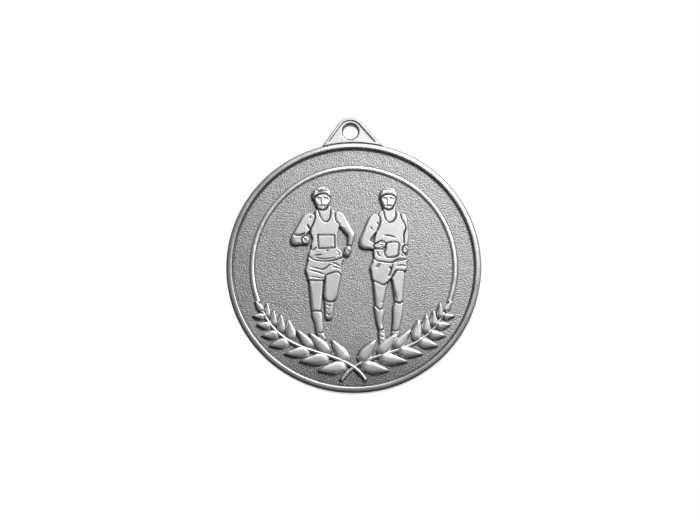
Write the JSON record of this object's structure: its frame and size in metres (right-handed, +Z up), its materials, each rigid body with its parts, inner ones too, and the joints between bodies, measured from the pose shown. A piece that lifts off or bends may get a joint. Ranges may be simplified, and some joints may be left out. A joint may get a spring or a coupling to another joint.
{
  "type": "sports finisher medal",
  "caption": "Round cast-metal finisher medal: raised rim, ribbon lug with a ring hole, thin inner ring, crossed laurel sprays and runners in low relief over a stippled field.",
  "frame": {"origin": "centre of the ring hole in the ribbon lug, halfway through the lug's thickness", "axes": "+Z up, as the medal hangs from its lug; the relief face looks toward -Y and the plain back toward +Y; +X to the right of someone who faces the relief"},
  "size_m": [0.05, 0.0033, 0.0552],
  "materials": {
    "polished_rim": "satin nickel-silver plating, brightest on the crown and outer edge",
    "stippled_field": "antique silver, sand-textured with dark grain",
    "raised_relief": "antique silver, smooth with dark patina in the creases"
  },
  "bodies": {
    "root": {"field_plate": "stippled_field", "rim": "polished_rim", "ribbon_lug": "polished_rim", "inner_ring": "raised_relief", "left_stem": "raised_relief", "left_tip_leaf": "raised_relief", "left_outer_leaves": "raised_relief", "left_inner_leaves": "raised_relief", "right_stem": "raised_relief", "right_stem_tail": "raised_relief", "right_tip_leaf": "raised_relief", "right_outer_leaves": "raised_relief", "right_inner_leaves": "raised_relief", "bearded_runner_face": "raised_relief", "bearded_runner_cap": "raised_relief", "bearded_runner_neck": "raised_relief", "bearded_runner_vest": "raised_relief", "bearded_runner_bib": "raised_relief", "bearded_runner_right_arm": "raised_relief", "bearded_runner_right_hand": "raised_relief", "bearded_runner_left_arm": "raised_relief", "bearded_runner_left_hand": "raised_relief", "bearded_runner_shorts": "raised_relief", "bearded_runner_standing_leg": "raised_relief", "bearded_runner_standing_sock": "raised_relief", "bearded_runner_standing_shoe": "raised_relief", "bearded_runner_raised_leg": "raised_relief", "bearded_runner_raised_shoe": "raised_relief", "capped_runner_face": "raised_relief", "capped_runner_cap": "raised_relief", "capped_runner_neck": "raised_relief", "capped_runner_vest": "raised_relief", "capped_runner_bib": "raised_relief", "capped_runner_right_arm": "raised_relief", "capped_runner_right_hand": "raised_relief", "capped_runner_left_arm": "raised_relief", "capped_runner_left_hand": "raised_relief", "capped_runner_shorts": "raised_relief", "capped_runner_right_leg": "raised_relief", "capped_runner_right_sock": "raised_relief", "capped_runner_right_shoe": "raised_relief", "capped_runner_left_leg": "raised_relief", "capped_runner_left_sock": "raised_relief", "capped_runner_left_shoe": "raised_relief"}
  },
  "joints": []
}
